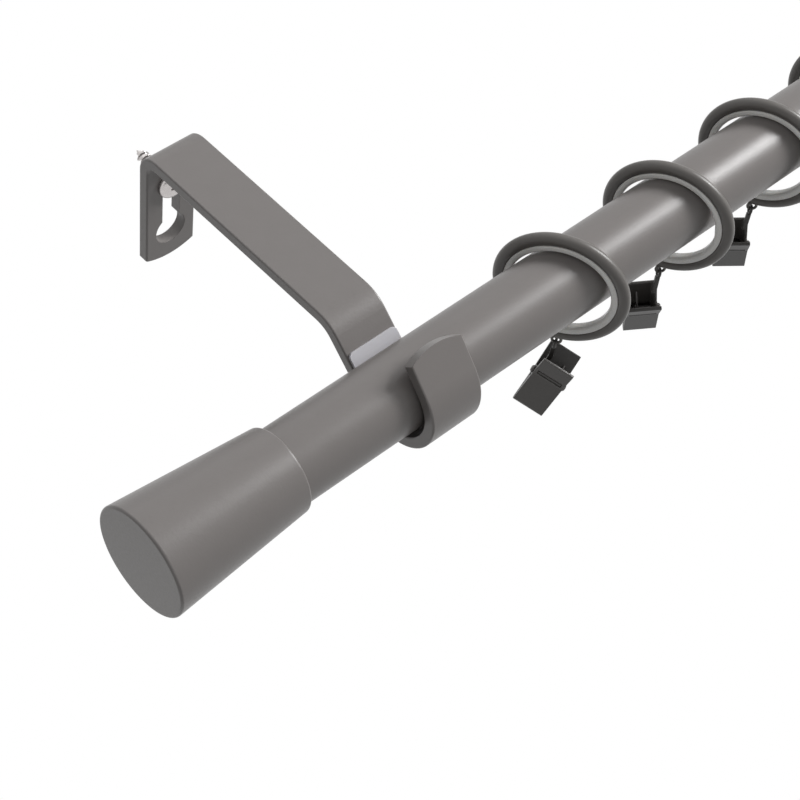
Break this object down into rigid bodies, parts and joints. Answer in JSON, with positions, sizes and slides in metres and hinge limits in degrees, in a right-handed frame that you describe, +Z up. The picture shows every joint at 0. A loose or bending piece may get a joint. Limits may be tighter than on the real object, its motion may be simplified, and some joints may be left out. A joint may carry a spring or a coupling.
{
  "type": "curtain rod",
  "caption": "Round curtain rod with cone finials on two bent strap wall brackets, with sliding wire rings that carry pinch clips.",
  "frame": {"origin": "where the left wall screw's axis meets the wall plane, at the back of the left bracket's plate", "axes": "+X along the rod to the right, +Y into the wall, +Z up"},
  "size_m": [1.1066, 0.1525, 0.0801],
  "materials": {
    "coated_steel": "satin powder coat, warm taupe grey",
    "zinc_steel": "bright zinc plate",
    "white_plastic": "moulded, slightly glossy",
    "pad_plastic": "moulded, translucent bluish grey",
    "clip_plastic": "moulded dark grey"
  },
  "bodies": {
    "rail": {"rod": "coated_steel", "finial_left": "coated_steel", "finial_right": "coated_steel", "bracket_left": "coated_steel", "bracket_right": "coated_steel", "saddle_left": "pad_plastic", "saddle_right": "pad_plastic", "wall_screw_left": "zinc_steel", "wall_screw_right": "zinc_steel"},
    "ring_1": {"ring_1": "coated_steel", "ring_liner_1": "white_plastic"},
    "clip_1": {"clip_back_1": "clip_plastic", "clip_pin_1": "zinc_steel", "clip_spring_1": "zinc_steel"},
    "jaw_1": {"clip_front_1": "clip_plastic"},
    "ring_2": {"ring_2": "coated_steel", "ring_liner_2": "white_plastic"},
    "clip_2": {"clip_back_2": "clip_plastic", "clip_pin_2": "zinc_steel", "clip_spring_2": "zinc_steel"},
    "jaw_2": {"clip_front_2": "clip_plastic"},
    "ring_3": {"ring_3": "coated_steel", "ring_liner_3": "white_plastic"},
    "clip_3": {"clip_back_3": "clip_plastic", "clip_pin_3": "zinc_steel", "clip_spring_3": "zinc_steel"},
    "jaw_3": {"clip_front_3": "clip_plastic"},
    "ring_4": {"ring_4": "coated_steel", "ring_liner_4": "white_plastic"},
    "clip_4": {"clip_back_4": "clip_plastic", "clip_pin_4": "zinc_steel", "clip_spring_4": "zinc_steel"},
    "jaw_4": {"clip_front_4": "clip_plastic"},
    "ring_5": {"ring_5": "coated_steel", "ring_liner_5": "white_plastic"},
    "clip_5": {"clip_back_5": "clip_plastic", "clip_pin_5": "zinc_steel", "clip_spring_5": "zinc_steel"},
    "jaw_5": {"clip_front_5": "clip_plastic"},
    "ring_6": {"ring_6": "coated_steel", "ring_liner_6": "white_plastic"},
    "clip_6": {"clip_back_6": "clip_plastic", "clip_pin_6": "zinc_steel", "clip_spring_6": "zinc_steel"},
    "jaw_6": {"clip_front_6": "clip_plastic"},
    "ring_7": {"ring_7": "coated_steel", "ring_liner_7": "white_plastic"},
    "clip_7": {"clip_back_7": "clip_plastic", "clip_pin_7": "zinc_steel", "clip_spring_7": "zinc_steel"},
    "jaw_7": {"clip_front_7": "clip_plastic"},
    "ring_8": {"ring_8": "coated_steel", "ring_liner_8": "white_plastic"},
    "clip_8": {"clip_back_8": "clip_plastic", "clip_pin_8": "zinc_steel", "clip_spring_8": "zinc_steel"},
    "jaw_8": {"clip_front_8": "clip_plastic"}
  },
  "joints": [
    {"name": "ring_1_slide", "type": "slide", "parent": "rail", "child": "ring_1", "axis": [1, 0, 0], "range_m": [-0.04, 0.022]},
    {"name": "clip_1_swing", "type": "hinge", "parent": "ring_1", "child": "clip_1", "pos_m": [0.06483, -0.11992, -0.01824], "axis": [0.5299, -0.848, 0], "range_deg": [-30, 30]},
    {"name": "jaw_1_open", "type": "hinge", "parent": "clip_1", "child": "jaw_1", "pos_m": [0.06399, -0.1212, -0.03493], "axis": [-0.3976, 0.8665, 0.3019], "range_deg": [0, 14], "stiffness_Nm_per_rad": 0.01, "springref_deg": -20.05, "deforming": ["clip_spring_1"]},
    {"name": "ring_2_slide", "type": "slide", "parent": "rail", "child": "ring_2", "axis": [1, 0, 0], "range_m": [-0.022, 0.022]},
    {"name": "clip_2_swing", "type": "hinge", "parent": "ring_2", "child": "clip_2", "pos_m": [0.11534, -0.12001, -0.01853], "axis": [-0.788, 0.6157, 0], "range_deg": [-30, 30]},
    {"name": "jaw_2_open", "type": "hinge", "parent": "clip_2", "child": "jaw_2", "pos_m": [0.11138, -0.11972, -0.03483], "axis": [0.7584, -0.6289, 0.1713], "range_deg": [0, 14], "stiffness_Nm_per_rad": 0.01, "springref_deg": -20.05, "deforming": ["clip_spring_2"]},
    {"name": "ring_3_slide", "type": "slide", "parent": "rail", "child": "ring_3", "axis": [1, 0, 0], "range_m": [-0.022, 0.022]},
    {"name": "clip_3_swing", "type": "hinge", "parent": "ring_3", "child": "clip_3", "pos_m": [0.16321, -0.12002, -0.01856], "axis": [-0.7193, 0.6947, 0], "range_deg": [-30, 30]},
    {"name": "jaw_3_open", "type": "hinge", "parent": "clip_3", "child": "jaw_3", "pos_m": [0.1593, -0.11932, -0.03486], "axis": [0.6885, -0.7047, 0.1713], "range_deg": [0, 14], "stiffness_Nm_per_rad": 0.01, "springref_deg": -20.05, "deforming": ["clip_spring_3"]},
    {"name": "ring_4_slide", "type": "slide", "parent": "rail", "child": "ring_4", "axis": [1, 0, 0], "range_m": [-0.022, 0.225]},
    {"name": "clip_4_swing", "type": "hinge", "parent": "ring_4", "child": "clip_4", "pos_m": [0.2121, -0.11998, -0.01848], "axis": [0.5, -0.866, 0], "range_deg": [-30, 30]},
    {"name": "jaw_4_open", "type": "hinge", "parent": "clip_4", "child": "jaw_4", "pos_m": [0.213, -0.12089, -0.03519], "axis": [-0.4084, 0.8685, 0.281], "range_deg": [0, 14], "stiffness_Nm_per_rad": 0.01, "springref_deg": -20.05, "deforming": ["clip_spring_4"]},
    {"name": "ring_5_slide", "type": "slide", "parent": "rail", "child": "ring_5", "axis": [1, 0, 0], "range_m": [-0.225, 0.022]},
    {"name": "clip_5_swing", "type": "hinge", "parent": "ring_5", "child": "clip_5", "pos_m": [0.6879, -0.11998, -0.01848], "axis": [0.5, 0.866, 0], "range_deg": [-30, 30]},
    {"name": "jaw_5_open", "type": "hinge", "parent": "clip_5", "child": "jaw_5", "pos_m": [0.68824, -0.11875, -0.03519], "axis": [-0.5479, -0.7879, 0.281], "range_deg": [0, 14], "stiffness_Nm_per_rad": 0.01, "springref_deg": -20.05, "deforming": ["clip_spring_5"]},
    {"name": "ring_6_slide", "type": "slide", "parent": "rail", "child": "ring_6", "axis": [1, 0, 0], "range_m": [-0.022, 0.022]},
    {"name": "clip_6_swing", "type": "hinge", "parent": "ring_6", "child": "clip_6", "pos_m": [0.73679, -0.12002, -0.01856], "axis": [-0.7193, -0.6947, 0], "range_deg": [-30, 30]},
    {"name": "jaw_6_open", "type": "hinge", "parent": "clip_6", "child": "jaw_6", "pos_m": [0.73596, -0.1239, -0.03486], "axis": [0.7283, 0.6635, 0.1713], "range_deg": [0, 14], "stiffness_Nm_per_rad": 0.01, "springref_deg": -20.05, "deforming": ["clip_spring_6"]},
    {"name": "ring_7_slide", "type": "slide", "parent": "rail", "child": "ring_7", "axis": [1, 0, 0], "range_m": [-0.022, 0.022]},
    {"name": "clip_7_swing", "type": "hinge", "parent": "ring_7", "child": "clip_7", "pos_m": [0.78466, -0.12001, -0.01853], "axis": [-0.788, -0.6157, 0], "range_deg": [-30, 30]},
    {"name": "jaw_7_open", "type": "hinge", "parent": "clip_7", "child": "jaw_7", "pos_m": [0.78342, -0.12378, -0.03483], "axis": [0.7937, 0.5837, 0.1713], "range_deg": [0, 14], "stiffness_Nm_per_rad": 0.01, "springref_deg": -20.05, "deforming": ["clip_spring_7"]},
    {"name": "ring_8_slide", "type": "slide", "parent": "rail", "child": "ring_8", "axis": [1, 0, 0], "range_m": [-0.022, 0.04]},
    {"name": "clip_8_swing", "type": "hinge", "parent": "ring_8", "child": "clip_8", "pos_m": [0.83517, -0.11992, -0.01824], "axis": [0.5299, 0.848, 0], "range_deg": [-30, 30]},
    {"name": "jaw_8_open", "type": "hinge", "parent": "clip_8", "child": "jaw_8", "pos_m": [0.83669, -0.12011, -0.03493], "axis": [-0.6045, -0.7372, 0.3019], "range_deg": [0, 14], "stiffness_Nm_per_rad": 0.01, "springref_deg": -20.05, "deforming": ["clip_spring_8"]}
  ]
}
